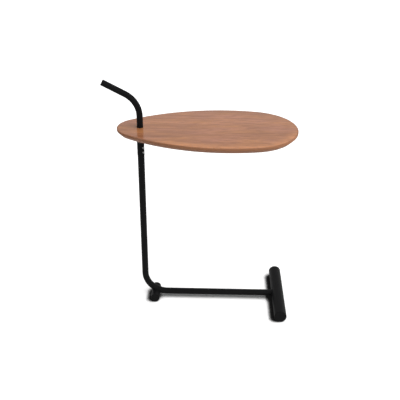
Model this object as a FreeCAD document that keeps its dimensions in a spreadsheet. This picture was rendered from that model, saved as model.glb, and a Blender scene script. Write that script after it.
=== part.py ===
import FreeCAD, Part
import math
import os
import re
import Sketcher

# C shaped side table: an egg-shaped wooden top on a bent steel tube. The handle tube carries the top and
# slides in the post, so the table can be raised. The post bends into a bar on the floor between two cross
# feet. +X runs along the bar away from the post, +Y across it, +Z up. The origin is on the floor under the
# middle of the overall box.

# Driving sizes, in millimetres and degrees
sizes = {
    # Wooden top: four tangent arcs, narrow end round the tube, bevelled from below
    "top_height": 586,
    "top_length": 516,
    "top_width": 293,
    "top_thickness": 18,
    "top_side_swell": 6.5,
    "top_narrow_radius": 69,
    "top_back_reach": 66,
    "top_bevel": 12,
    "top_edge_round": 1.5,
    "top_hole_clearance": 0.2,
    # Handle tube: stem in the post, rise above the top, bend and grip
    "handle_diameter": 17.9,
    "handle_wall": 1.5,
    "handle_insert": 235,
    "handle_rise": 33.5,
    "handle_bend_radius": 72.5,
    "handle_turn": 62.4,
    "handle_grip_length": 71.5,
    # Plug in the grip's end and guide in the stem's foot
    "plug_head": 2.5,
    "plug_spigot": 14,
    "plug_round": 1.2,
    "guide_head": 6,
    "guide_round": 1,
    "plug_clearance": 0.05,
    # Flange and hub under the top
    "flange_diameter": 90,
    "flange_thickness": 4,
    "flange_weld": 3,
    "hub_diameter": 30,
    "hub_height": 17,
    "hub_clearance": 0.05,
    # Wood screws of the flange
    "wood_screw_circle": 68,
    "wood_screw_diameter": 4.5,
    "wood_screw_grip": 12,
    "wood_screw_tip": 4,
    "wood_screw_point": 0.5,
    "wood_screw_head_diameter": 8.6,
    "wood_screw_head_height": 3,
    "wood_screw_head_bevel": 1,
    "cross_length": 4.6,
    "cross_width": 1.2,
    "cross_depth": 1.8,
    "screw_clearance": 0.05,
    # Grub screws of the hub
    "grub_diameter": 6,
    "grub_length": 5.6,
    "grub_height": 7,
    "grub_gap": 0.1,
    "grub_bevel": 0.6,
    "grub_key": 3,
    "grub_key_depth": 2.5,
    # Post, bend and floor bar
    "slide_clearance": 0.05,
    "post_wall": 1,
    "post_bend_radius": 70,
    # Lock collar on the post's rim and its two screws
    "stop_gap": 0.3,
    "collar_length": 47,
    "collar_wall": 1.5,
    "collar_bevel": 0.6,
    "lock_turn": 49,
    "lock_diameter": 6,
    "lock_length": 5,
    "lock_height": 12,
    "lock_spacing": 15,
    "lock_gap": 0.3,
    "lock_bevel": 0.6,
    "lock_key": 3,
    "lock_key_depth": 2.5,
    # Front cross foot
    "front_foot_reach": 424,
    "front_foot_diameter": 38,
    "front_foot_wall": 2,
    "front_foot_length": 254,
    "bar_end_gap": 3.75,
    "weld_clearance": 0.1,
    # Rear cross foot, notched for the bend
    "rear_foot_reach": 32,
    "rear_foot_diameter": 28,
    "rear_foot_wall": 2,
    "rear_foot_length": 70,
    "saddle_clearance": 0.1,
    # End caps of both feet
    "cap_head": 4,
    "cap_spigot": 8,
    "cap_round": 2,
    "cap_clearance": 0.1,
    # Floor glides of both feet
    "glide_stand": 1,
    "front_glide_diameter": 16,
    "front_glide_gap": 8.5,
    "rear_glide_diameter": 12,
    "rear_glide_gap": 2.5,
    "glide_stem_diameter": 7,
    "glide_stem_rise": 5,
    "glide_clearance": 0.05,
}
wood_screw_count = 4
lock_screw_count = 2
grub_screw_count = 2
quarter_turn = 90
half_turn = 180
full_turn = 360
hexagon_turn = 60
same_place = 1e-6

# Sizes and places that follow from the driving ones
handle_radius = "(handle_diameter / 2)"
handle_bore = "(handle_diameter / 2 - handle_wall)"
post_bore = "(handle_diameter / 2 + slide_clearance)"
post_radius = f"({post_bore} + post_wall)"
collar_radius = f"({post_bore} + collar_wall)"
top_wide_radius = "(top_width / 2 - top_side_swell)"
top_underside = "(top_height - top_thickness)"
hub_foot = f"({top_underside} - flange_thickness - hub_height)"
collar_top = f"({hub_foot} - stop_gap)"
post_rim = f"({collar_top} - collar_length)"
stem_foot = f"({collar_top} - handle_insert)"
front_radius = "(front_foot_diameter / 2)"
rear_radius = "(rear_foot_diameter / 2)"
bar_axis = f"(glide_stand + {front_radius})"
rear_axis = f"(glide_stand + {rear_radius})"
bar_past_axis = f"(sqrt(({front_radius} - front_foot_wall)^2 - {post_radius}^2) - bar_end_gap)"
front_glide_inset = "(cap_head + cap_spigot + front_glide_gap + glide_stem_diameter / 2)"
rear_glide_inset = "(cap_head + cap_spigot + rear_glide_gap + glide_stem_diameter / 2)"
grip_run = "(handle_grip_length - plug_head)"
grip_end_x = f"(handle_bend_radius * (cos(handle_turn) - 1) - {grip_run} * sin(handle_turn))"
grip_end_z = (
    f"(top_height + handle_rise + handle_bend_radius * sin(handle_turn)"
    f" + {grip_run} * cos(handle_turn))"
)
grip_reach = (
    f"(plug_round - {grip_end_x} + (plug_head - plug_round) * sin(handle_turn)"
    f" + ({handle_radius} - plug_round) * cos(handle_turn))"
)
post_x = f"(({grip_reach} - top_length + top_back_reach) / 2)"

doc = FreeCAD.newDocument("SideTable")
sheet = doc.addObject("Spreadsheet::Sheet", "Sizes")
for row, (alias, number) in enumerate(sizes.items(), start=1):
    sheet.set(f"A{row}", alias)
    sheet.set(f"B{row}", str(number))
    sheet.setAlias(f"B{row}", alias)
doc.recompute()


# Formulas in size names, bound to the sheet

def linked(formula):
    def cell(word):
        return f"Sizes.{word[0]}" if word[0] in sizes else word[0]
    return re.sub("[a-z_]+", cell, formula)


def bind(item, prop, formula):
    item.setExpression(prop, linked(formula))


def place(item, x="0", y="0", z="0", axis=None, angle=None):
    if axis:
        turn = FreeCAD.Rotation(FreeCAD.Vector(*axis), quarter_turn)
        item.Placement = FreeCAD.Placement(FreeCAD.Vector(), turn)
        bind(item, "Placement.Rotation.Angle", f"{angle} * 1 deg")
    bind(item, "Placement.Base.x", f"{post_x} + {x}")
    bind(item, "Placement.Base.y", y)
    bind(item, "Placement.Base.z", z)


# Bodies, sketches and their constraints

def new_body(label):
    body = doc.addObject("PartDesign::Body", label)
    body.Label = label
    return body


def origin_feature(body, role):
    return next(item for item in body.Origin.OriginFeatures if item.Role == role)


def new_sketch(body, plane, name):
    sketch = body.newObject("Sketcher::SketchObject", name)
    sketch.AttachmentSupport = [(origin_feature(body, plane), "")]
    sketch.MapMode = "FlatFace"
    return sketch


def measure(sketch, kind, *where_and_start, formula):
    index = sketch.addConstraint(Sketcher.Constraint(kind, *where_and_start))
    bind(sketch, f"Constraints[{index}]", formula)


def pin_point(sketch, geometry, point, x, y):
    for kind, axis, formula in (("DistanceX", -2, x), ("DistanceY", -1, y)):
        if formula == "0":
            sketch.addConstraint(Sketcher.Constraint("PointOnObject", geometry, point, axis))
        else:
            measure(sketch, kind, -1, 1, geometry, point, 1, formula=formula)


def circle(sketch, radius, x="0", y="0"):
    ring = sketch.addGeometry(Part.Circle())
    measure(sketch, "Radius", ring, 1, formula=radius)
    pin_point(sketch, ring, 3, x, y)


def polygon(sketch, points):
    count = len(points)
    turns = [2 * math.pi * step / count for step in range(count)]
    corners = [FreeCAD.Vector(math.cos(turn), math.sin(turn)) for turn in turns]
    for step in range(count):
        sketch.addGeometry(Part.LineSegment(corners[step], corners[(step + 1) % count]))
    for step, (x, y) in enumerate(points):
        sketch.addConstraint(Sketcher.Constraint("Coincident", step, 2, (step + 1) % count, 1))
        pin_point(sketch, step, 1, x, y)


# Features

def settle(body, feature):
    body.Tip = feature
    doc.recompute()
    return feature


def pad(body, sketch, length, symmetric=False):
    feature = body.newObject("PartDesign::Pad", sketch.Name + "_pad")
    feature.Profile = sketch
    feature.SideType = "Symmetric" if symmetric else "One side"
    bind(feature, "Length", length)
    return settle(body, feature)


def pocket(body, sketch, length, forward=False, symmetric=False):
    before = body.Shape.Volume
    feature = body.newObject("PartDesign::Pocket", sketch.Name + "_cut")
    feature.Profile = sketch
    feature.SideType = "Symmetric" if symmetric else "One side"
    feature.Reversed = forward
    bind(feature, "Length", length)
    settle(body, feature)
    if body.Shape.Volume >= before:
        raise RuntimeError(f"{sketch.Name} cuts nothing")
    return feature


def turned(body, name, points, axis="V_Axis", offset="0"):
    sketch = new_sketch(body, "XZ_Plane", name)
    bind(sketch, "AttachmentOffset.Base.x", offset)
    polygon(sketch, points)
    feature = body.newObject("PartDesign::Revolution", name + "_turn")
    feature.Profile = sketch
    feature.ReferenceAxis = (sketch, [axis])
    feature.Angle = full_turn
    return settle(body, feature)


def around(body, features, count, angle=full_turn):
    pattern = body.newObject("PartDesign::PolarPattern", features[0].Name + "_set")
    pattern.Originals = features
    pattern.Axis = (origin_feature(body, "Z_Axis"), [""])
    pattern.Angle = angle
    pattern.Occurrences = count
    return settle(body, pattern)


def level_edges(feature, level):
    def is_level(edge):
        return max(abs(edge.BoundBox.ZMin - level), abs(edge.BoundBox.ZMax - level)) < same_place
    return [f"Edge{index}" for index, edge in enumerate(feature.Shape.Edges, start=1) if is_level(edge)]


def edge_finish(body, kind, feature, level, prop, size):
    finish = body.newObject(f"PartDesign::{kind}", f"{feature.Name}_{kind.lower()}")
    finish.Base = (feature, level_edges(feature, level))
    bind(finish, prop, size)
    return settle(body, finish)


# Tube of one bend: from the origin up Z, then round towards -X, then straight on

def bent_tube(label, outside, bore, first_run, bend_radius, turn, last_run):
    body = new_body(label)
    path = new_sketch(body, "XZ_Plane", label + "_path")
    radius = sizes[bend_radius]
    sweep = math.radians(sizes.get(turn, quarter_turn))
    bend_start = FreeCAD.Vector(0, radius)
    bend_centre = FreeCAD.Vector(-radius, radius)
    bend_end = bend_centre + radius * FreeCAD.Vector(math.cos(sweep), math.sin(sweep))
    onward = radius * FreeCAD.Vector(-math.sin(sweep), math.cos(sweep))
    first = path.addGeometry(Part.LineSegment(FreeCAD.Vector(), bend_start))
    bend_circle = Part.Circle(bend_centre, FreeCAD.Vector(0, 0, 1), radius)
    bend = path.addGeometry(Part.ArcOfCircle(bend_circle, 0, sweep))
    last = path.addGeometry(Part.LineSegment(bend_end, bend_end + onward))
    path.addConstraint(Sketcher.Constraint("Coincident", first, 1, -1, 1))
    path.addConstraint(Sketcher.Constraint("Vertical", first))
    path.addConstraint(Sketcher.Constraint("Tangent", first, 2, bend, 1))
    path.addConstraint(Sketcher.Constraint("Tangent", bend, 2, last, 1))
    measure(path, "Distance", first, radius, formula=first_run)
    measure(path, "Radius", bend, radius, formula=bend_radius)
    measure(path, "Angle", bend, sweep, formula=f"{turn} * 1 deg")
    measure(path, "Distance", last, radius, formula=last_run)
    ring = new_sketch(body, "XY_Plane", label + "_ring")
    circle(ring, outside)
    circle(ring, bore)
    doc.recompute()
    tube = body.newObject("PartDesign::AdditivePipe", label + "_pipe")
    tube.Profile = ring
    tube.Spine = (path, ["Edge1", "Edge2", "Edge3"])
    settle(body, tube)
    return body


# Plug with a spigot below the origin and a rounded head above it

def end_plug(label, head_radius, spigot_radius, head, spigot, rounding):
    body = new_body(label)
    outline = [
        ("0", f"-{spigot}"),
        (spigot_radius, f"-{spigot}"),
        (spigot_radius, "0"),
        (head_radius, "0"),
        (head_radius, head),
        ("0", head),
    ]
    plug = turned(body, label + "_profile", outline)
    edge_finish(body, "Fillet", plug, sizes[head], "Radius", rounding)
    return body


# Socket set screw along X, its tip towards the axis

def set_screw(body, name, tip, length, radius, bevel, key, key_depth):
    end = f"({tip} + {length})"
    outline = [
        (tip, "0"),
        (tip, f"{radius} - {bevel}"),
        (f"{tip} + {bevel}", radius),
        (f"{end} - {bevel}", radius),
        (end, f"{radius} - {bevel}"),
        (end, "0"),
    ]
    shank = turned(body, name, outline, axis="H_Axis")
    socket = new_sketch(body, "YZ_Plane", name + "_socket")
    bind(socket, "AttachmentOffset.Base.z", f"{end} - {key_depth}")
    corners = []
    for step in range(full_turn // hexagon_turn):
        angle = step * hexagon_turn
        across = f"{key} / sqrt(3) * sin({angle})" if angle % half_turn else "0"
        corners.append((f"{key} / sqrt(3) * cos({angle})", across))
    polygon(socket, corners)
    return [shank, pocket(body, socket, key_depth, forward=True)]


# Wooden top

def table_top():
    body = new_body("table_top")
    outline = new_sketch(body, "XY_Plane", "top_outline")
    egg_outline(outline)
    board = pad(body, outline, "top_thickness")
    bevel = edge_finish(body, "Chamfer", board, 0, "Size", "top_bevel")
    edge_finish(body, "Fillet", bevel, sizes["top_thickness"], "Radius", "top_edge_round")
    tube_hole = new_sketch(body, "XY_Plane", "top_tube_hole")
    circle(tube_hole, f"{handle_radius} + top_hole_clearance")
    pocket(body, tube_hole, "top_thickness", forward=True)
    pilot = new_sketch(body, "XY_Plane", "top_pilot_hole")
    circle(pilot, "wood_screw_diameter / 2 + screw_clearance", x="wood_screw_circle / 2")
    pilot_hole = pocket(body, pilot, "wood_screw_grip + screw_clearance", forward=True)
    around(body, [pilot_hole], wood_screw_count)
    place(body, z=top_underside)


# Two end arcs on the X axis and two side arcs tangent to both, crowned at half the width
def egg_outline(sketch):
    narrow = sizes["top_narrow_radius"]
    swell = sizes["top_side_swell"]
    half_width = sizes["top_width"] / 2
    wide = half_width - swell
    narrow_x = narrow - sizes["top_back_reach"]
    wide_x = sizes["top_length"] - sizes["top_back_reach"] - wide
    span = wide_x - narrow_x
    taper = wide - narrow
    rise = half_width - narrow
    root = math.sqrt(swell * (span ** 2 - taper ** 2))
    side = (((span * math.sqrt(rise) - root) / taper) ** 2 + narrow + half_width) / 2
    side_drop = side - half_width
    side_x = narrow_x + math.sqrt((side - narrow) ** 2 - side_drop ** 2)
    wide_turn = math.atan2(side_drop, wide_x - side_x)
    narrow_turn = math.atan2(side_drop, narrow_x - side_x)
    arcs = [
        (wide_x, 0, wide, -wide_turn, wide_turn),
        (side_x, -side_drop, side, wide_turn, narrow_turn),
        (narrow_x, 0, narrow, narrow_turn, 2 * math.pi - narrow_turn),
        (side_x, side_drop, side, 2 * math.pi - narrow_turn, 2 * math.pi - wide_turn),
    ]
    up = FreeCAD.Vector(0, 0, 1)
    for x, y, radius, start, end in arcs:
        sketch.addGeometry(Part.ArcOfCircle(Part.Circle(FreeCAD.Vector(x, y), up, radius), start, end))
    wide_arc, far_arc, narrow_arc, near_arc = range(len(arcs))
    for step in range(len(arcs)):
        sketch.addConstraint(Sketcher.Constraint("Tangent", step, 2, (step + 1) % len(arcs), 1))
    measure(sketch, "Radius", wide_arc, wide, formula=top_wide_radius)
    measure(sketch, "Radius", narrow_arc, narrow, formula="top_narrow_radius")
    sketch.addConstraint(Sketcher.Constraint("Equal", far_arc, near_arc))
    for arc, x, formula in (
        (wide_arc, wide_x, f"top_length - top_back_reach - {top_wide_radius}"),
        (narrow_arc, narrow_x, "top_narrow_radius - top_back_reach"),
    ):
        sketch.addConstraint(Sketcher.Constraint("PointOnObject", arc, 3, -1))
        measure(sketch, "DistanceX", -1, 1, arc, 3, x, formula=formula)
    crown = sketch.addGeometry(Part.Point(FreeCAD.Vector(side_x, half_width)), True)
    sketch.addConstraint(Sketcher.Constraint("PointOnObject", crown, 1, far_arc))
    sketch.addConstraint(Sketcher.Constraint("Vertical", crown, 1, far_arc, 3))
    measure(sketch, "DistanceY", -1, 1, crown, 1, half_width, formula="top_width / 2")


# Flange plate with its welded hub, origin on the plate's upper face
def top_flange():
    body = new_body("top_flange")
    bore = f"({handle_radius} + hub_clearance)"
    foot = "-(flange_thickness + hub_height)"
    outline = [
        (bore, "0"),
        ("flange_diameter / 2", "0"),
        ("flange_diameter / 2", "-flange_thickness"),
        ("hub_diameter / 2 + flange_weld", "-flange_thickness"),
        ("hub_diameter / 2", "-(flange_thickness + flange_weld)"),
        ("hub_diameter / 2", foot),
        (bore, foot),
    ]
    turned(body, "flange_profile", outline)
    screw_hole = new_sketch(body, "XY_Plane", "flange_screw_hole")
    circle(screw_hole, "wood_screw_diameter / 2 + screw_clearance", x="wood_screw_circle / 2")
    around(body, [pocket(body, screw_hole, "flange_thickness")], wood_screw_count)
    grub_hole = new_sketch(body, "YZ_Plane", "hub_grub_hole")
    circle(grub_hole, "grub_diameter / 2 + screw_clearance", y=f"{foot} + grub_height")
    grub_cut = pocket(body, grub_hole, "hub_diameter / 2", forward=True)
    around(body, [grub_cut], grub_screw_count, quarter_turn)
    place(body, z=top_underside)


# Cross-headed screws from the flange's lower face up into the board
def flange_wood_screws():
    body = new_body("flange_wood_screws")
    head = "wood_screw_head_height"
    head_radius = "wood_screw_head_diameter / 2"
    shank_radius = "wood_screw_diameter / 2"
    tip = "flange_thickness + wood_screw_grip"
    outline = [
        ("0", f"-{head}"),
        (f"{head_radius} - wood_screw_head_bevel", f"-{head}"),
        (head_radius, f"wood_screw_head_bevel - {head}"),
        (head_radius, "0"),
        (shank_radius, "0"),
        (shank_radius, f"{tip} - wood_screw_tip"),
        ("wood_screw_point / 2", tip),
        ("0", tip),
    ]
    screw = turned(body, "wood_screw_profile", outline, offset="wood_screw_circle / 2")
    cross = new_sketch(body, "XY_Plane", "wood_screw_cross")
    bind(cross, "AttachmentOffset.Base.z", f"cross_depth - {head}")
    centre = "wood_screw_circle / 2"
    arm = "cross_length / 2"
    side = "cross_width / 2"
    corners = []
    for along, over in ((1, 1), (-1, 1), (-1, -1), (1, -1)):
        upright = [(f"{centre} + {along} * {side}", f"{over} * {arm}")]
        inner = [(f"{centre} + {along} * {side}", f"{over} * {side}")]
        level = [(f"{centre} + {along} * {arm}", f"{over} * {side}")]
        corners += level + inner + upright if along == over else upright + inner + level
    polygon(cross, corners)
    recess = pocket(body, cross, "cross_depth")
    around(body, [screw, recess], wood_screw_count)
    place(body, z=f"{top_underside} - flange_thickness")


# Grub screws of the hub, a quarter turn apart
def flange_grub_screws():
    body = new_body("flange_grub_screws")
    tip = f"({handle_radius} + grub_gap)"
    screw = set_screw(body, "grub_profile", tip, "grub_length", "grub_diameter / 2", "grub_bevel",
                      "grub_key", "grub_key_depth")
    around(body, screw, grub_screw_count, quarter_turn)
    place(body, z=f"{hub_foot} + grub_height")


# Handle tube with its end plug and its guide
def handle():
    first_run = f"top_height + handle_rise - {stem_foot}"
    tube = bent_tube("handle_tube", handle_radius, handle_bore, first_run,
                     "handle_bend_radius", "handle_turn", grip_run)
    place(tube, z=stem_foot)
    spigot_radius = f"{handle_bore} - plug_clearance"
    plug = end_plug("handle_end_plug", handle_radius, spigot_radius, "plug_head", "plug_spigot", "plug_round")
    place(plug, x=grip_end_x, z=grip_end_z, axis=(0, -1, 0), angle="handle_turn")
    guide = end_plug("tube_guide", handle_radius, spigot_radius, "guide_head", "plug_spigot", "guide_round")
    place(guide, z=stem_foot, axis=(0, 1, 0), angle=half_turn)


# Post, bend and floor bar in one tube that starts at the rim and runs downwards
def post():
    first_run = f"{post_rim} - {bar_axis} - post_bend_radius"
    last_run = f"front_foot_reach + {bar_past_axis} - post_bend_radius"
    tube = bent_tube("post_tube", post_radius, post_bore, first_run,
                     "post_bend_radius", str(quarter_turn), last_run)
    place(tube, z=post_rim, axis=(0, 1, 0), angle=half_turn)


# Collar on the post's rim, with threaded holes for the lock screws
def lock_collar():
    body = new_body("lock_collar")
    outline = [
        (post_bore, "0"),
        (collar_radius, "0"),
        (collar_radius, "collar_length - collar_bevel"),
        (f"{collar_radius} - collar_bevel", "collar_length"),
        (post_bore, "collar_length"),
    ]
    turned(body, "collar_profile", outline)
    holes = new_sketch(body, "YZ_Plane", "collar_holes")
    for step in range(lock_screw_count):
        circle(holes, "lock_diameter / 2 + screw_clearance", y=f"lock_height + {step} * lock_spacing")
    pocket(body, holes, collar_radius, forward=True)
    place(body, z=post_rim, axis=(0, 0, -1), angle="lock_turn")


# Lock screws, one above the other
def lock_screws():
    body = new_body("lock_screws")
    tip = f"({handle_radius} + lock_gap)"
    screw = set_screw(body, "lock_profile", tip, "lock_length", "lock_diameter / 2", "lock_bevel",
                      "lock_key", "lock_key_depth")
    pattern = body.newObject("PartDesign::LinearPattern", "lock_pair")
    pattern.Originals = screw
    pattern.Direction = (origin_feature(body, "Z_Axis"), [""])
    pattern.Occurrences = lock_screw_count
    bind(pattern, "Length", f"{lock_screw_count - 1} * lock_spacing")
    settle(body, pattern)
    place(body, z=f"{post_rim} + lock_height", axis=(0, 0, -1), angle="lock_turn")


# Cross tube along Y with holes for its glides, origin in its middle
def foot_tube(label, radius, wall, length, glide_inset):
    body = new_body(label)
    ring = new_sketch(body, "XZ_Plane", label + "_ring")
    circle(ring, radius)
    circle(ring, f"{radius} - {wall}")
    pad(body, ring, f"{length} - 2 * cap_head", symmetric=True)
    holes = new_sketch(body, "XY_Plane", label + "_glide_holes")
    for side in (-1, 1):
        y = f"{side} * ({length} / 2 - {glide_inset})"
        circle(holes, "glide_stem_diameter / 2 + glide_clearance", y=y)
    pocket(body, holes, radius)
    return body


# End caps of one foot, near and far
def foot_caps(foot, x, z, radius, wall, length):
    for side, end, turn in (("near", -1, quarter_turn), ("far", 1, -quarter_turn)):
        spigot_radius = f"{radius} - {wall} - cap_clearance"
        cap = end_plug(f"{foot}_cap_{side}", radius, spigot_radius, "cap_head", "cap_spigot", "cap_round")
        place(cap, x=x, y=f"{end} * ({length} / 2 - cap_head)", z=z, axis=(1, 0, 0), angle=turn)


# Two glides under one foot, hollowed to its round, each with a stem in the tube's wall
def foot_glides(label, x, radius, length, glide_diameter, glide_inset):
    body = new_body(label)
    discs = new_sketch(body, "XY_Plane", label + "_discs")
    stems = new_sketch(body, "XY_Plane", label + "_stems")
    for side in (-1, 1):
        y = f"{side} * ({length} / 2 - {glide_inset})"
        circle(discs, f"{glide_diameter} / 2", y=y)
        circle(stems, "glide_stem_diameter / 2", y=y)
    pad(body, discs, f"glide_stand + {glide_diameter} / 2")
    hollow = new_sketch(body, "XZ_Plane", label + "_hollow")
    circle(hollow, f"{radius} + glide_clearance", y=f"glide_stand + {radius}")
    pocket(body, hollow, length, symmetric=True)
    pad(body, stems, "glide_stand + glide_stem_rise")
    place(body, x=x)


# Front cross foot, with a hole for the bar's end
def front_foot():
    reach = "front_foot_reach"
    length = "front_foot_length"
    tube = foot_tube("front_foot_tube", front_radius, "front_foot_wall", length, front_glide_inset)
    bar_hole = new_sketch(tube, "YZ_Plane", "front_foot_bar_hole")
    circle(bar_hole, f"{post_radius} + weld_clearance")
    pocket(tube, bar_hole, front_radius)
    place(tube, x=reach, z=bar_axis)
    foot_caps("front_foot", reach, bar_axis, front_radius, "front_foot_wall", length)
    foot_glides("front_glides", reach, front_radius, length, "front_glide_diameter", front_glide_inset)


# Rear cross foot, notched by the round of the bend that it carries
def rear_foot():
    reach = "rear_foot_reach"
    length = "rear_foot_length"
    tube = foot_tube("rear_foot_tube", rear_radius, "rear_foot_wall", length, rear_glide_inset)
    saddle = new_sketch(tube, "YZ_Plane", "rear_foot_saddle")
    bind(saddle, "AttachmentOffset.Base.z", "post_bend_radius - rear_foot_reach")
    section_height = f"({bar_axis} - {rear_axis})"
    circle(saddle, f"{post_radius} + saddle_clearance", y=section_height)
    axis = saddle.addGeometry(Part.LineSegment(FreeCAD.Vector(), FreeCAD.Vector(1, 0)), True)
    pin_point(saddle, axis, 1, "0", f"{section_height} + post_bend_radius")
    pin_point(saddle, axis, 2, "post_bend_radius", f"{section_height} + post_bend_radius")
    before = tube.Shape.Volume
    notch = tube.newObject("PartDesign::Groove", "rear_foot_notch")
    notch.Profile = saddle
    notch.ReferenceAxis = (saddle, ["Axis0"])
    notch.Angle = full_turn
    settle(tube, notch)
    if tube.Shape.Volume >= before:
        raise RuntimeError("the saddle notch cuts nothing")
    place(tube, x=reach, z=rear_axis)
    foot_caps("rear_foot", reach, rear_axis, rear_radius, "rear_foot_wall", length)
    foot_glides("rear_glides", reach, rear_radius, length, "rear_glide_diameter", rear_glide_inset)


table_top()
top_flange()
flange_wood_screws()
flange_grub_screws()
handle()
post()
lock_collar()
lock_screws()
front_foot()
rear_foot()
doc.recompute()

# Every object has to be sound before anything is written
for item in doc.Objects:
    if "Invalid" in item.State or "Error" in item.State:
        raise RuntimeError(f"{item.Label} failed: {item.State}")
bodies = [item for item in doc.Objects if item.TypeId == "PartDesign::Body"]
for body in bodies:
    if body.Shape.isNull() or not body.Shape.isValid():
        raise RuntimeError(f"{body.Label} has no sound shape")

os.makedirs("parts", exist_ok=True)
for body in bodies:
    body.Shape.exportStep(f"parts/{body.Label}.step")
    print(body.Label, len(body.Shape.Solids), "solids", round(body.Shape.Volume), "mm3")
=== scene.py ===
import math

import bpy
from mathutils import Euler, Matrix, Vector


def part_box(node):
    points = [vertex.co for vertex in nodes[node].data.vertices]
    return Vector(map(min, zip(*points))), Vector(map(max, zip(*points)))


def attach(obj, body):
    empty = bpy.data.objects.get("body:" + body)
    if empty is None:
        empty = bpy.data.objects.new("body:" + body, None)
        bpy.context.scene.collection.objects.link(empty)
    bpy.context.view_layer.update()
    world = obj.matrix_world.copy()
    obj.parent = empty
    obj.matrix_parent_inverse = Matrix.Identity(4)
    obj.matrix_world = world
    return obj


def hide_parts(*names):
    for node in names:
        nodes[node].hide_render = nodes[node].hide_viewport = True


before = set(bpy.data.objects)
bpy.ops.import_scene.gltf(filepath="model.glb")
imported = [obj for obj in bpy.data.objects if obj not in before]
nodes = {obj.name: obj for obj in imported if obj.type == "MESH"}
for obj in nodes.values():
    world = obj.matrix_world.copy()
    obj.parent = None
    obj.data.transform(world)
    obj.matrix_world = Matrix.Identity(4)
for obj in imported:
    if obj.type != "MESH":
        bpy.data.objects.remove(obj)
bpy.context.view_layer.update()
bpy.context.scene.view_settings.view_transform = "Standard"
print("frame loaded:", len(nodes), "nodes")

samePlace = 1e-5  # metres, points nearer than this are one place
levelFace = 0.999  # Z of the normal of a face that counts as level
frameStep = 0.0005  # metres, the frame is read to half a millimetre because its meshes cut arcs short


# helpers that read the frame

def rounded(place):
    return Vector([round(value / frameStep) * frameStep for value in place])


def middleOf(name):
    low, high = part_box(name)
    return rounded((low + high) / 2)


def halfOf(name):
    low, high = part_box(name)
    return rounded((high - low) / 2)


# helpers for modelling by operators

def deselectAll():
    bpy.ops.object.select_all(action="DESELECT")


def selectOnly(piece):
    deselectAll()
    piece.select_set(True)
    bpy.context.view_layer.objects.active = piece


def clearSelection(piece):
    bpy.ops.object.mode_set(mode="OBJECT")
    for part in (piece.data.vertices, piece.data.edges, piece.data.polygons):
        part.foreach_set("select", [False] * len(part))


def selectFaces(piece, wanted):
    clearSelection(piece)
    for face in piece.data.polygons:
        face.select = wanted(face)
    bpy.ops.object.mode_set(mode="EDIT")
    bpy.ops.mesh.select_mode(type="FACE")


def selectEdges(piece, wanted):
    clearSelection(piece)
    places = [vertex.co.copy() for vertex in piece.data.vertices]
    for edge in piece.data.edges:
        edge.select = wanted(*[places[index] for index in edge.vertices])
    bpy.ops.object.mode_set(mode="EDIT")
    bpy.ops.mesh.select_mode(type="EDGE")


def combine(piece, other, operation):
    selectOnly(piece)
    step = piece.modifiers.new("combine", "BOOLEAN")
    step.operation = operation
    step.solver = "EXACT"
    step.object = other
    bpy.ops.object.modifier_apply(modifier=step.name)
    bpy.data.objects.remove(other)


def finishPiece(piece, body, slot, smoothAngle):
    selectOnly(piece)
    bpy.ops.object.transform_apply(location=True, rotation=True, scale=True)
    bpy.ops.object.shade_smooth_by_angle(angle=math.radians(smoothAngle))
    piece.data.materials.clear()
    piece.data.materials.append(finishes[slot])
    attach(piece, body)
    deselectAll()


# helpers for node trees

def addNode(tree, kind, **settings):
    node = tree.nodes.new(kind)
    for name, value in settings.items():
        setattr(node, name, value)
    return node


def setInputs(node, **values):
    for name, value in values.items():
        node.inputs[name.replace("_", " ")].default_value = value
    return node


def feed(tree, socket, value):
    if isinstance(value, bpy.types.NodeSocket):
        tree.links.new(value, socket)
    elif isinstance(value, tuple):
        socket.default_value = (*value, 1.0)
    else:
        socket.default_value = value


def newMaterial(name):
    material = bpy.data.materials.new(name)
    material.use_nodes = True
    tree = material.node_tree
    return material, tree, tree.nodes["Principled BSDF"]


def newGroup(name, inputs, outputs):
    tree = bpy.data.node_groups.new(name, "ShaderNodeTree")
    for label in inputs:
        tree.interface.new_socket(label, in_out="INPUT", socket_type="NodeSocketFloat")
    for label in outputs:
        tree.interface.new_socket(label, in_out="OUTPUT", socket_type="NodeSocketFloat")
    return tree, tree.nodes.new("NodeGroupInput"), tree.nodes.new("NodeGroupOutput")


def useGroup(tree, group, **values):
    node = addNode(tree, "ShaderNodeGroup", node_tree=group)
    return setInputs(node, **values)


def remap(tree, value, span, result):
    node = addNode(tree, "ShaderNodeMapRange", clamp=True)
    setInputs(node, From_Min=span[0], From_Max=span[1], To_Min=result[0], To_Max=result[1])
    tree.links.new(value, node.inputs["Value"])
    return node.outputs["Result"]


def mixColour(tree, factor, first, second):
    node = addNode(tree, "ShaderNodeMix", data_type="RGBA")
    for index, value in ((0, factor), (6, first), (7, second)):  # factor and colour sockets
        feed(tree, node.inputs[index], value)
    return node.outputs[2]


def mixValue(tree, factor, first, second):
    node = addNode(tree, "ShaderNodeMix", data_type="FLOAT")
    for index, value in ((0, factor), (2, first), (3, second)):  # factor and number sockets
        feed(tree, node.inputs[index], value)
    return node.outputs[0]


def doMath(tree, operation, first, second):
    node = addNode(tree, "ShaderNodeMath", operation=operation)
    feed(tree, node.inputs[0], first)
    feed(tree, node.inputs[1], second)
    return node.outputs[0]


def splitVector(tree, vector):
    node = addNode(tree, "ShaderNodeSeparateXYZ")
    tree.links.new(vector, node.inputs["Vector"])
    return node.outputs


def addBump(tree, shader, height, strength, distance):
    bump = addNode(tree, "ShaderNodeBump")
    setInputs(bump, Strength=strength, Distance=distance)
    tree.links.new(height, bump.inputs["Height"])
    tree.links.new(bump.outputs["Normal"], shader.inputs["Normal"])


# mottling of a surface, broad and fine

mottleLook = {
    "detail": {"Broad": 3.0, "Fine": 2.0},
    "rough": 0.55,
}


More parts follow.
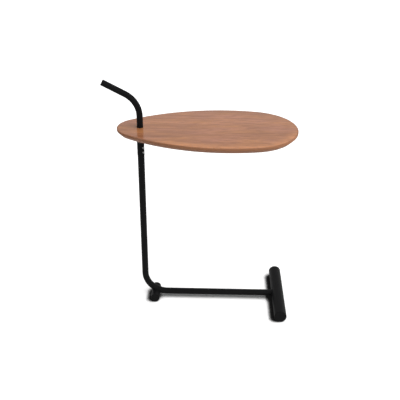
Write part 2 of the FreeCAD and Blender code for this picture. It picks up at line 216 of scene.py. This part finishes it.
def makeMottle(look):
    tree, groupIn, groupOut = newGroup("mottle", ["Broad Scale", "Fine Scale"], ["Broad", "Fine"])
    coords = addNode(tree, "ShaderNodeTexCoord").outputs["Object"]
    for label, detail in look["detail"].items():
        noise = setInputs(addNode(tree, "ShaderNodeTexNoise"), Detail=detail, Roughness=look["rough"])
        tree.links.new(coords, noise.inputs["Vector"])
        tree.links.new(groupIn.outputs[label + " Scale"], noise.inputs["Scale"])
        tree.links.new(noise.outputs["Fac"], groupOut.inputs[label])
    return tree


mottle = makeMottle(mottleLook)

# edges rubbed in patches

rubLook = {
    "samples": 6,
    "turned": (0.72, 0.99),  # agreement of the rounded normal with the face's own
    "detail": 4.0,
    "rough": 0.6,
    "patchSpan": (0.35, 0.65),
    "patchShare": (0.25, 1.0),
}


def makeEdgeRub(look):
    tree, groupIn, groupOut = newGroup("edgeRub", ["Radius", "Patch Scale"], ["Mask"])
    bevel = addNode(tree, "ShaderNodeBevel", samples=look["samples"])
    tree.links.new(groupIn.outputs["Radius"], bevel.inputs["Radius"])
    surface = addNode(tree, "ShaderNodeNewGeometry")
    dot = addNode(tree, "ShaderNodeVectorMath", operation="DOT_PRODUCT")
    tree.links.new(bevel.outputs["Normal"], dot.inputs[0])
    tree.links.new(surface.outputs["Normal"], dot.inputs[1])
    edge = remap(tree, dot.outputs["Value"], look["turned"], (1.0, 0.0))
    coords = addNode(tree, "ShaderNodeTexCoord").outputs["Object"]
    patches = setInputs(addNode(tree, "ShaderNodeTexNoise"), Detail=look["detail"], Roughness=look["rough"])
    tree.links.new(coords, patches.inputs["Vector"])
    tree.links.new(groupIn.outputs["Patch Scale"], patches.inputs["Scale"])
    broken = remap(tree, patches.outputs["Fac"], look["patchSpan"], look["patchShare"])
    tree.links.new(doMath(tree, "MULTIPLY", edge, broken), groupOut.inputs["Mask"])
    return tree


edgeRub = makeEdgeRub(rubLook)

# outline of the wooden top: four tangent arcs, bevelled from below, arrises eased

topLow, topHigh = [rounded(corner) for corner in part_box("table_top")]
topBoard = {
    "tailX": topLow.x,
    "noseX": topHigh.x,
    "halfWidth": topHigh.y,
    "noseRadius": 0.140,
    "tailRadius": 0.069,
    "upper": topHigh.z,
    "lower": topLow.z,
    "bevel": 0.012,
    "upperEase": 0.0015,
    "upperSegments": 5,
    "lowerEase": 0.0008,
    "lowerSegments": 3,
    "holeX": middleOf("lock_collar").x,
    "holeRadius": 0.00915,
    "holeEase": 0.0004,
    "holeSides": 96,
    "border": 0.0012,  # ring of faces that holds the shading flat
    "arcStep": 0.0035,
    "smoothAngle": 40,
}


# long arc of each side, tangent to the nose and tail arcs
def sideArc(board):
    noseX = board["noseX"] - board["noseRadius"]
    tailX = board["tailX"] + board["tailRadius"]
    span = noseX - tailX
    taper = board["noseRadius"] - board["tailRadius"]
    swell = board["halfWidth"] - board["noseRadius"]
    rise = board["halfWidth"] - board["tailRadius"]
    root = math.sqrt(swell * (span ** 2 - taper ** 2))
    reach = ((span * math.sqrt(rise) - root) / taper) ** 2
    radius = (reach + board["tailRadius"] + board["halfWidth"]) / 2
    drop = radius - board["halfWidth"]
    centreX = tailX + math.sqrt((radius - board["tailRadius"]) ** 2 - drop ** 2)
    noseTurn = math.atan2(drop, noseX - centreX)
    tailTurn = math.atan2(drop, tailX - centreX)
    return noseX, tailX, centreX, drop, radius, noseTurn, tailTurn


# grain of the top along X: repeats per metre along and across it, and what it adds to the tone

woodGrain = {
    "warmth": {"along": 9.0, "across": 24.0, "shift": 3.3, "detail": 2.0, "rough": 0.5, "wander": 0.2,
               "span": (0.35, 0.65), "share": 1.0},
    "drift": {"along": 5.0, "across": 12.0, "shift": 5.1, "detail": 3.0, "rough": 0.5, "wander": 0.4,
              "span": (0.3, 0.7), "share": 0.26},
    "bands": {"along": 2.0, "across": 38.0, "shift": 12.6, "detail": 3.0, "rough": 0.5, "wander": 0.5,
              "span": (0.32, 0.68), "share": 0.34},
    "figure": {"along": 8.0, "across": 95.0, "shift": 0.0, "detail": 5.0, "rough": 0.62, "wander": 0.6,
               "span": (0.32, 0.68), "share": 0.56},
    "flecks": {"along": 26.0, "across": 150.0, "shift": 0.0, "detail": 2.0, "rough": 0.55, "wander": 0.3,
               "span": (0.46, 0.68), "share": 0.6},
    "fibre": {"along": 14.0, "across": 620.0, "shift": 0.0, "detail": 4.0, "rough": 0.6, "wander": 0.0,
              "span": (0.35, 0.7), "share": 0.35},
    "pores": {"along": 95.0, "across": 2600.0, "shift": 0.0, "detail": 1.0, "rough": 0.5, "wander": 0.0,
              "span": (0.62, 0.72), "share": 0.6},
}


def grainNoise(tree, coords, layer):
    mapping = addNode(tree, "ShaderNodeMapping")
    mapping.inputs["Scale"].default_value = (layer["along"], layer["across"], layer["across"])
    mapping.inputs["Location"].default_value = (layer["shift"], layer["shift"], 0)
    tree.links.new(coords, mapping.inputs["Vector"])
    noise = addNode(tree, "ShaderNodeTexNoise")
    setInputs(noise, Scale=1.0, Detail=layer["detail"], Roughness=layer["rough"], Distortion=layer["wander"])
    tree.links.new(mapping.outputs["Vector"], noise.inputs["Vector"])
    return noise.outputs["Fac"]


# lacquered wood of the top, with a duller and darker edge

woodFinish = {
    "amber": (0.706, 0.299, 0.114),
    "rose": (0.656, 0.281, 0.168),
    "dark": (0.30, 0.118, 0.052),
    "pore": (0.20, 0.074, 0.030),
    # painted highlight along the near rim, on the side towards the sun
    "rimHighlight": (0.78, 0.325, 0.128),
    "rimHighlightShare": 0.75,
    "rimHighlightDepth": (0.0113, 0.034),  # metres inside the rim, full to none
    "rimHighlightAlong": (-0.15, -0.08),
    "rimHighlightAcross": (-0.05, 0.0),
    "edge": (0.315, 0.145, 0.081),
    "edgeShare": 0.85,
    "edgeDepth": (0.0029, 0.0032),  # metres inside the rim, full to none
    "edgeFacing": (0.93, 0.995),  # Z of the normal, full to none
    "worn": (0.50, 0.23, 0.12),
    "wornShare": 0.15,
    "wornRadius": 0.0012,
    "wornPatches": 60.0,
    "fibreSpan": (0.3, 0.7),
    "roughness": (0.13, 0.19),
    "poreRoughness": 0.2,
    "edgeRoughness": (0.49, 0.61),
    "specular": 0.165,
    "fibreRise": 0.25,
    "bumpStrength": 0.08,
    "bumpHeight": 0.0001,
}


# how far inside the outline a point lies, from the arc that it belongs to
def rimDepth(tree, place, board):
    noseX, tailX, sideX, drop, sideRadius, noseTurn, tailTurn = sideArc(board)
    folded = addNode(tree, "ShaderNodeCombineXYZ")
    tree.links.new(place["X"], folded.inputs["X"])
    tree.links.new(doMath(tree, "ABSOLUTE", place["Y"], 0.0), folded.inputs["Y"])

    def depthFrom(centreX, centreY, radius):
        away = addNode(tree, "ShaderNodeVectorMath", operation="DISTANCE")
        tree.links.new(folded.outputs["Vector"], away.inputs[0])
        away.inputs[1].default_value = (centreX, centreY, 0)
        return doMath(tree, "SUBTRACT", radius, away.outputs["Value"])

    noseStart = noseX + board["noseRadius"] * math.cos(noseTurn)
    tailStart = tailX + board["tailRadius"] * math.cos(tailTurn)
    inNose = doMath(tree, "GREATER_THAN", place["X"], noseStart)
    inTail = doMath(tree, "LESS_THAN", place["X"], tailStart)
    depth = depthFrom(sideX, -drop, sideRadius)
    depth = mixValue(tree, inNose, depth, depthFrom(noseX, 0, board["noseRadius"]))
    return mixValue(tree, inTail, depth, depthFrom(tailX, 0, board["tailRadius"]))


# painted highlight: a lighter strip along the near rim, on the side towards the sun, standing in for light
# on a rim rounded down towards it
def paintedRimHighlight(tree, finish, place, depth):
    mask = remap(tree, depth, finish["rimHighlightDepth"], (finish["rimHighlightShare"], 0.0))
    mask = doMath(tree, "MULTIPLY", mask, remap(tree, place["X"], finish["rimHighlightAlong"], (0.0, 1.0)))
    return doMath(tree, "MULTIPLY", mask, remap(tree, place["Y"], finish["rimHighlightAcross"], (1.0, 0.0)))


# stained edge and underside, and a fine darker band round the rim of the face
def edgeMask(tree, finish, normal, depth):
    turned = remap(tree, splitVector(tree, normal)["Z"], finish["edgeFacing"], (1.0, 0.0))
    return doMath(tree, "MAXIMUM", turned, remap(tree, depth, finish["edgeDepth"], (1.0, 0.0)))


def makeWood(finish, grain, board):
    material, tree, shader = newMaterial("lacqueredWood")
    texture = addNode(tree, "ShaderNodeTexCoord")
    place = splitVector(tree, texture.outputs["Object"])
    depth = rimDepth(tree, place, board)
    noises = {}
    tones = {}
    for name, layer in grain.items():
        noises[name] = grainNoise(tree, texture.outputs["Object"], layer)
        tones[name] = remap(tree, noises[name], layer["span"], (0.0, layer["share"]))
    tone = doMath(tree, "ADD", doMath(tree, "ADD", tones["drift"], tones["bands"]), tones["figure"])
    colour = mixColour(tree, tones["warmth"], finish["amber"], finish["rose"])
    colour = mixColour(tree, tone, colour, finish["dark"])
    # painted highlight along the near rim
    colour = mixColour(tree, paintedRimHighlight(tree, finish, place, depth), colour, finish["rimHighlight"])
    for name, shade in (("flecks", "dark"), ("fibre", "dark"), ("pores", "pore")):
        colour = mixColour(tree, tones[name], colour, finish[shade])
    edge = edgeMask(tree, finish, texture.outputs["Normal"], depth)
    colour = mixColour(tree, doMath(tree, "MULTIPLY", edge, finish["edgeShare"]), colour, finish["edge"])
    rub = useGroup(tree, edgeRub, Radius=finish["wornRadius"], Patch_Scale=finish["wornPatches"])
    worn = doMath(tree, "MULTIPLY", rub.outputs["Mask"], finish["wornShare"])
    tree.links.new(mixColour(tree, worn, colour, finish["worn"]), shader.inputs["Base Color"])
    sheen = remap(tree, noises["fibre"], finish["fibreSpan"], finish["roughness"])
    sheen = doMath(tree, "ADD", sheen, doMath(tree, "MULTIPLY", tones["pores"], finish["poreRoughness"]))
    dull = remap(tree, noises["fibre"], finish["fibreSpan"], finish["edgeRoughness"])
    tree.links.new(mixValue(tree, edge, sheen, dull), shader.inputs["Roughness"])
    setInputs(shader, Specular_IOR_Level=finish["specular"])
    raised = doMath(tree, "MULTIPLY", noises["fibre"], finish["fibreRise"])
    height = doMath(tree, "SUBTRACT", raised, tones["pores"])
    addBump(tree, shader, height, finish["bumpStrength"], finish["bumpHeight"])
    return material


# matt powder coat of the tubes, collar, flange and feet

steelFinish = {
    "name": "powderCoatBlack",
    "ground": (0.0054, 0.0054, 0.0058),
    "cloud": (0.0092, 0.0092, 0.0096),
    "broadScale": 16.0,
    "fineScale": 1500.0,
    "rubbed": (0.024, 0.024, 0.025),
    "rubShare": 0.5,
    "rubRadius": 0.0009,
    "rubPatches": 150.0,
    "fineSpan": (0.3, 0.7),
    "roughness": (0.44, 0.58),
    "bumpStrength": 0.18,
    "bumpHeight": 0.0002,
    "metallic": 0.0,
    "specular": 0.045,
}

# moulded plastic of the caps, plugs and glides

plasticFinish = {
    "name": "mouldedBlack",
    "ground": (0.0050, 0.0050, 0.0052),
    "cloud": (0.0084, 0.0084, 0.0086),
    "broadScale": 45.0,
    "fineScale": 2200.0,
    "rubbed": (0.024, 0.024, 0.024),
    "rubShare": 0.4,
    "rubRadius": 0.0008,
    "rubPatches": 220.0,
    "fineSpan": (0.3, 0.7),
    "roughness": (0.5, 0.66),
    "bumpStrength": 0.25,
    "bumpHeight": 0.0002,
    "metallic": 0.0,
    "specular": 0.06,
}

# zinc plate of the screws

zincFinish = {
    "name": "zincPlate",
    "ground": (0.31, 0.31, 0.305),
    "cloud": (0.20, 0.20, 0.195),
    "broadScale": 420.0,
    "fineScale": 5200.0,
    "rubbed": (0.44, 0.44, 0.43),
    "rubShare": 0.5,
    "rubRadius": 0.0003,
    "rubPatches": 500.0,
    "fineSpan": (0.3, 0.7),
    "roughness": (0.2, 0.36),
    "bumpStrength": 0.06,
    "bumpHeight": 0.0001,
    "metallic": 1.0,
    "specular": 0.5,
}


def makeCoat(finish):
    material, tree, shader = newMaterial(finish["name"])
    grain = useGroup(tree, mottle, Broad_Scale=finish["broadScale"], Fine_Scale=finish["fineScale"])
    colour = mixColour(tree, grain.outputs["Broad"], finish["ground"], finish["cloud"])
    rub = useGroup(tree, edgeRub, Radius=finish["rubRadius"], Patch_Scale=finish["rubPatches"])
    rubbed = doMath(tree, "MULTIPLY", rub.outputs["Mask"], finish["rubShare"])
    tree.links.new(mixColour(tree, rubbed, colour, finish["rubbed"]), shader.inputs["Base Color"])
    roughness = remap(tree, grain.outputs["Fine"], finish["fineSpan"], finish["roughness"])
    tree.links.new(roughness, shader.inputs["Roughness"])
    addBump(tree, shader, grain.outputs["Fine"], finish["bumpStrength"], finish["bumpHeight"])
    setInputs(shader, Metallic=finish["metallic"], Specular_IOR_Level=finish["specular"])
    return material


finishes = {
    "veneered_wood": makeWood(woodFinish, woodGrain, topBoard),
    "black_steel": makeCoat(steelFinish),
    "black_plastic": makeCoat(plasticFinish),
    "bright_steel": makeCoat(zincFinish),
}
for node in nodes.values():
    for slot in node.material_slots:
        slot.material = finishes[slot.material.name]
print("finishes set:", ", ".join(finishes))


# wooden top made by operators

# with no window, spin turns the other way round its axis
def spinArc(centreX, centreY, level, radius, turn, arcStep):
    steps = round(turn * radius / arcStep)
    bpy.ops.mesh.spin(steps=steps, angle=turn, center=(centreX, centreY, level), axis=(0, 0, -1))


def spinOutline(board, level):
    noseX, tailX, sideX, drop, sideRadius, noseTurn, tailTurn = sideArc(board)
    step = board["arcStep"]
    spinArc(noseX, 0, level, board["noseRadius"], noseTurn, step)
    spinArc(sideX, -drop, level, sideRadius, tailTurn - noseTurn, step)
    spinArc(tailX, 0, level, board["tailRadius"], 2 * (math.pi - tailTurn), step)
    spinArc(sideX, drop, level, sideRadius, tailTurn - noseTurn, step)
    spinArc(noseX, 0, level, board["noseRadius"], noseTurn, step)
    bpy.ops.mesh.select_all(action="SELECT")
    bpy.ops.mesh.remove_doubles(threshold=2 * samePlace)
    bpy.ops.mesh.edge_face_add()


def cutTubeHole(piece, board):
    deselectAll()
    middle = (board["upper"] + board["lower"]) / 2
    through = 2 * (board["upper"] - board["lower"])
    bpy.ops.mesh.primitive_cylinder_add(vertices=board["holeSides"], radius=board["holeRadius"],
                                        depth=through, location=(board["holeX"], 0, middle))
    combine(piece, bpy.context.object, "DIFFERENCE")

    def onRim(one, two):
        for end in (one, two):
            if abs(math.hypot(end.x - board["holeX"], end.y) - board["holeRadius"]) > samePlace:
                return False
        return abs(one.z - two.z) < samePlace

    selectEdges(piece, onRim)
    bpy.ops.mesh.bevel(offset=board["holeEase"], segments=1, affect="EDGES")
    bpy.ops.object.mode_set(mode="OBJECT")


def makeTopBoard(board):
    level = board["lower"] + board["bevel"]
    deselectAll()
    bpy.ops.mesh.primitive_plane_add(size=board["arcStep"], location=(0, 0, 0))
    piece = bpy.context.object
    piece.name = "topBoard"
    bpy.ops.object.mode_set(mode="EDIT")
    bpy.ops.mesh.merge(type="CENTER")
    bpy.ops.transform.translate(value=(board["noseX"], 0, level))
    spinOutline(board, level)
    bpy.ops.mesh.extrude_region_move(TRANSFORM_OT_translate={"value": (0, 0, board["upper"] - level)})
    bpy.ops.mesh.select_all(action="SELECT")
    bpy.ops.mesh.normals_make_consistent(inside=False)
    selectFaces(piece, lambda face: face.normal.z < -levelFace)
    bpy.ops.mesh.inset(thickness=board["bevel"], depth=board["bevel"])
    for height, ease, segments in (
        (board["upper"], board["upperEase"], board["upperSegments"]),
        (level, board["lowerEase"], board["lowerSegments"]),
        (board["lower"], board["lowerEase"], board["lowerSegments"]),
    ):
        selectEdges(piece, lambda one, two: max(abs(one.z - height), abs(two.z - height)) < samePlace)
        bpy.ops.mesh.bevel(offset=ease, segments=segments, profile=0.5, affect="EDGES")
    for up in (1, -1):
        selectFaces(piece, lambda face: face.normal.z * up > levelFace)
        bpy.ops.mesh.inset(thickness=board["border"], depth=0)
    bpy.ops.object.mode_set(mode="OBJECT")
    cutTubeHole(piece, board)
    finishPiece(piece, "top_and_handle", "veneered_wood", board["smoothAngle"])
    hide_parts("table_top")
    print("top board:", len(piece.data.polygons), "faces")


makeTopBoard(topBoard)

# weld beads where the bar and the bend meet their feet

frontFoot = middleOf("front_foot_tube")
rearFoot = middleOf("rear_foot_tube")
tubeRadius = halfOf("post_tube").y
bendRadius = 0.070
barStart = Vector((-0.026, 0, 0))  # middle of the bar's piece, from the front foot's axis
weldBead = {
    "leg": 0.0017,  # how far the bead stands out from tube and foot
    "bite": 0.0002,  # how far it sinks into them
    "grid": 0.00032,
    "smoothing": 6,
    "ripple": 0.00035,
    "rippleSize": 0.0022,
    "smoothAngle": 60,
    "barSides": 128,
    "bendSides": 320,
    "bendRing": 96,
    "bar": {"place": frontFoot + barStart, "radius": tubeRadius, "length": 0.05},
    "frontFoot": {"place": frontFoot, "radius": halfOf("front_foot_tube").z, "length": 0.06},
    "bend": {"place": (middleOf("lock_collar").x + bendRadius, 0, frontFoot.z + bendRadius),
             "radius": tubeRadius, "sweep": bendRadius},
    "rearFoot": {"place": rearFoot, "radius": halfOf("rear_foot_tube").z, "length": 0.05},
}


def roundBar(bead, name, turn, swell):
    shape = bead[name]
    deselectAll()
    bpy.ops.mesh.primitive_cylinder_add(vertices=bead["barSides"], radius=shape["radius"] + swell,
                                        depth=shape["length"], location=shape["place"], rotation=turn)
    return bpy.context.object


def roundBend(bead, name, turn, swell):
    shape = bead[name]
    deselectAll()
    bpy.ops.mesh.primitive_torus_add(major_radius=shape["sweep"], minor_radius=shape["radius"] + swell,
                                     major_segments=bead["bendSides"], minor_segments=bead["bendRing"],
                                     location=shape["place"], rotation=turn)
    return bpy.context.object


def makeWeld(name, tube, foot, bead):
    piece = tube(bead["leg"])
    piece.name = name
    combine(piece, foot(bead["leg"]), "INTERSECT")
    combine(piece, tube(-bead["bite"]), "DIFFERENCE")
    combine(piece, foot(-bead["bite"]), "DIFFERENCE")
    selectOnly(piece)
    bpy.ops.object.transform_apply(location=True, rotation=True, scale=True)
    grid = piece.modifiers.new("grid", "REMESH")
    grid.mode = "VOXEL"
    grid.voxel_size = bead["grid"]
    soften = piece.modifiers.new("soften", "SMOOTH")
    soften.iterations = bead["smoothing"]
    ripple = piece.modifiers.new("ripple", "DISPLACE")
    ripple.texture = bpy.data.textures.new(name + "Ripple", "CLOUDS")
    ripple.texture.noise_scale = bead["rippleSize"]
    ripple.strength = bead["ripple"]
    for step in (grid, soften, ripple):
        bpy.ops.object.modifier_apply(modifier=step.name)
    finishPiece(piece, "base_frame", "black_steel", bead["smoothAngle"])
    print("weld:", name, len(piece.data.polygons), "faces")


def makeWelds(bead):
    alongX = (0, math.pi / 2, 0)
    alongY = (math.pi / 2, 0, 0)
    makeWeld("frontWeld", lambda swell: roundBar(bead, "bar", alongX, swell),
             lambda swell: roundBar(bead, "frontFoot", alongY, swell), bead)
    makeWeld("rearWeld", lambda swell: roundBend(bead, "bend", alongY, swell),
             lambda swell: roundBar(bead, "rearFoot", alongY, swell), bead)


makeWelds(weldBead)


# what the lens, mirrors and glass see, as against what only lights the object

def seenByLens(tree):
    path = addNode(tree, "ShaderNodeLightPath")
    seen = path.outputs["Is Camera Ray"]
    for label in ("Is Glossy Ray", "Is Transmission Ray"):
        seen = doMath(tree, "MAXIMUM", seen, path.outputs[label])
    return seen


# soft light from the front right

studioLight = {
    "towards": (0.586, -0.397, 0.707),
    "away": 4.0,
    "sun": 2.3,
    "sunAngle": 80.0,
    "dome": (0.18, 0.58),  # strength of the sky away from the sun and towards it
}


def makeSun(light):
    towards = Vector(light["towards"])
    deselectAll()
    bpy.ops.object.light_add(type="SUN", location=towards * light["away"],
                             rotation=towards.to_track_quat("Z", "Y").to_euler())
    sun = bpy.context.object
    sun.name = "softKey"
    sun.data.energy = light["sun"]
    sun.data.angle = math.radians(light["sunAngle"])
    sun.visible_glossy = False


def makeDome(light):
    world = bpy.data.worlds.new("studioWorld")
    bpy.context.scene.world = world
    world.use_nodes = True
    tree = world.node_tree
    tree.nodes.clear()
    lean = addNode(tree, "ShaderNodeVectorMath", operation="DOT_PRODUCT")
    tree.links.new(addNode(tree, "ShaderNodeTexCoord").outputs["Generated"], lean.inputs[0])
    lean.inputs[1].default_value = light["towards"]
    lit = remap(tree, lean.outputs["Value"], (0.0, 1.0), light["dome"])
    background = addNode(tree, "ShaderNodeBackground")
    background.inputs["Color"].default_value = (1, 1, 1, 1)
    tree.links.new(mixValue(tree, seenByLens(tree), lit, 1.0), background.inputs["Strength"])
    output = addNode(tree, "ShaderNodeOutputWorld")
    tree.links.new(background.outputs["Background"], output.inputs["Surface"])


makeSun(studioLight)
makeDome(studioLight)

# floor: white to the camera, grey to the light that it throws back, with a contact shadow painted in near
# the object

stageFloor = {
    "size": 40.0,
    "bounce": 0.5,
    "seen": 0.95,
    "glow": 0.5,
    "contactReach": 0.025,
    "contactSamples": 16,
    "contactSpan": (0.60, 0.90),  # openness of a place on the floor, darkest to clear
    "contactShare": (0.01, 1.0),
}


# painted shadow: the floor's colour and glow darken where the object is near, most on the side away from the
# sun
def paintedContactShadow(tree, stage, towards):
    lean = addNode(tree, "ShaderNodeCombineXYZ")
    setInputs(lean, X=towards[0], Y=towards[1], Z=towards[2])
    near = addNode(tree, "ShaderNodeAmbientOcclusion", samples=stage["contactSamples"])
    near.inputs["Distance"].default_value = stage["contactReach"]
    tree.links.new(lean.outputs["Vector"], near.inputs["Normal"])
    return remap(tree, near.outputs["AO"], stage["contactSpan"], stage["contactShare"])


def makeFloor(stage, towards):
    deselectAll()
    bpy.ops.mesh.primitive_plane_add(size=stage["size"], location=(0, 0, 0))
    floor = bpy.context.object
    floor.name = "studioFloor"
    material = bpy.data.materials.new("studioFloor")
    material.use_nodes = True
    tree = material.node_tree
    tree.nodes.clear()
    seen = seenByLens(tree)
    paintedShadow = paintedContactShadow(tree, stage, towards)
    shaded = mixColour(tree, paintedShadow, (0.0, 0.0, 0.0), (stage["seen"],) * 3)
    matt = addNode(tree, "ShaderNodeBsdfDiffuse")
    tree.links.new(mixColour(tree, seen, (stage["bounce"],) * 3, shaded), matt.inputs["Color"])
    glow = addNode(tree, "ShaderNodeEmission")
    glowing = doMath(tree, "MULTIPLY", seen, doMath(tree, "MULTIPLY", paintedShadow, stage["glow"]))
    tree.links.new(glowing, glow.inputs["Strength"])
    both = addNode(tree, "ShaderNodeAddShader")
    tree.links.new(matt.outputs["BSDF"], both.inputs[0])
    tree.links.new(glow.outputs["Emission"], both.inputs[1])
    oneSided = addNode(tree, "ShaderNodeMixShader")  # seen from below, the floor lets the view through
    tree.links.new(addNode(tree, "ShaderNodeNewGeometry").outputs["Backfacing"], oneSided.inputs[0])
    tree.links.new(both.outputs["Shader"], oneSided.inputs[1])
    tree.links.new(addNode(tree, "ShaderNodeBsdfTransparent").outputs["BSDF"], oneSided.inputs[2])
    output = addNode(tree, "ShaderNodeOutputMaterial")
    tree.links.new(oneSided.outputs["Shader"], output.inputs["Surface"])
    floor.data.materials.append(material)


makeFloor(stageFloor, studioLight["towards"])

# camera at the photograph's angle

viewCamera = {
    "place": (0.03612, -1.79087, 1.30616),
    "lens": 60.778,
    "sensor": 36.0,
    "reach": 100.0,
    "pitchDown": 27.995,
    "turnLeft": 1.144,
    "roll": 0.412,
}


def makeCamera(view):
    aim = Euler((math.radians(90 - view["pitchDown"]), 0, math.radians(view["turnLeft"]))).to_matrix()
    aim = aim @ Matrix.Rotation(math.radians(view["roll"]), 3, "Z")
    deselectAll()
    bpy.ops.object.camera_add(location=view["place"], rotation=aim.to_euler())
    camera = bpy.context.object
    camera.name = "photoCamera"
    camera.data.lens = view["lens"]
    camera.data.sensor_width = view["sensor"]
    camera.data.clip_end = view["reach"]
    bpy.context.scene.camera = camera


makeCamera(viewCamera)
print("stage, light and camera set")
